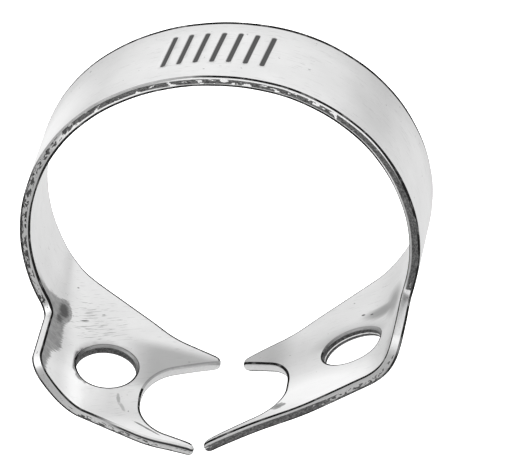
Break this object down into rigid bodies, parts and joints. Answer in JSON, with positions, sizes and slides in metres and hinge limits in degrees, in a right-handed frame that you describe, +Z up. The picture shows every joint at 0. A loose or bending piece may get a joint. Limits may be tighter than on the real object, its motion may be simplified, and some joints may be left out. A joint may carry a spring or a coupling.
{
  "type": "rubber dam clamp",
  "caption": "Rubber dam clamp of bent spring-steel sheet: an arched bow over two wingless jaws with forceps holes, concave cuts and four tooth prongs.",
  "frame": {"origin": "middle of the four prong tips, in the middle plane of the bow", "axes": "+X to the right jaw across the tooth, +Y to the back of the bow, +Z up to the crown of the bow"},
  "size_m": [0.0264, 0.0164, 0.022],
  "materials": {
    "spring_steel": "brushed, with tumbled edges"
  },
  "bodies": {
    "root": {"clamp": "spring_steel"}
  },
  "joints": []
}
